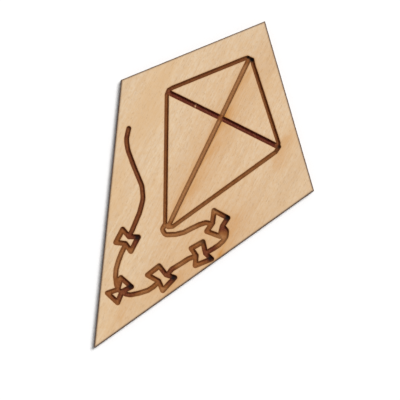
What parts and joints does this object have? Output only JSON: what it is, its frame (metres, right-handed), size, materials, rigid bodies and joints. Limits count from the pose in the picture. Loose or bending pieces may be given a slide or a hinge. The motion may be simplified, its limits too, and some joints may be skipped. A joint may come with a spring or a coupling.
{
  "type": "engraved plywood kite blank",
  "caption": "Flat kite-shaped plywood blank with a kite, its spars and a tail of tied bows burnt deep into the face, for crafts and play.",
  "frame": {"origin": "middle of the blank's box, on the plane of the back", "axes": "+X to the right across the engraved face, +Y from the bottom corner to the top corner, +Z out of the engraved face"},
  "size_m": [0.045, 0.075, 0.003],
  "materials": {
    "face_wood": "sanded birch face veneer, unfinished, scorched brown along the burnt lines",
    "core_wood": "birch core veneer with its grain across the face's, charred where it is the floor of a burnt line",
    "back_wood": "sanded birch back veneer, unfinished",
    "glue": "set resin glue, dull dark brown"
  },
  "bodies": {
    "root": {"back_veneer": "back_wood", "lower_glue_film": "glue", "core_veneer": "core_wood", "face_field": "face_wood", "glue_under_face_field": "glue", "sail_upper_left": "face_wood", "glue_under_sail_upper_left": "glue", "sail_upper_right": "face_wood", "glue_under_sail_upper_right": "glue", "sail_lower_left": "face_wood", "glue_under_sail_lower_left": "glue", "sail_lower_right": "face_wood", "glue_under_sail_lower_right": "glue", "bow_1_centre": "face_wood", "glue_under_bow_1_centre": "glue", "bow_2_centre": "face_wood", "glue_under_bow_2_centre": "glue", "bow_3_centre": "face_wood", "glue_under_bow_3_centre": "glue", "bow_4_upper_loop": "face_wood", "glue_under_bow_4_upper_loop": "glue", "bow_4_lower_loop": "face_wood", "glue_under_bow_4_lower_loop": "glue", "bow_5_centre": "face_wood", "glue_under_bow_5_centre": "glue"}
  },
  "joints": []
}
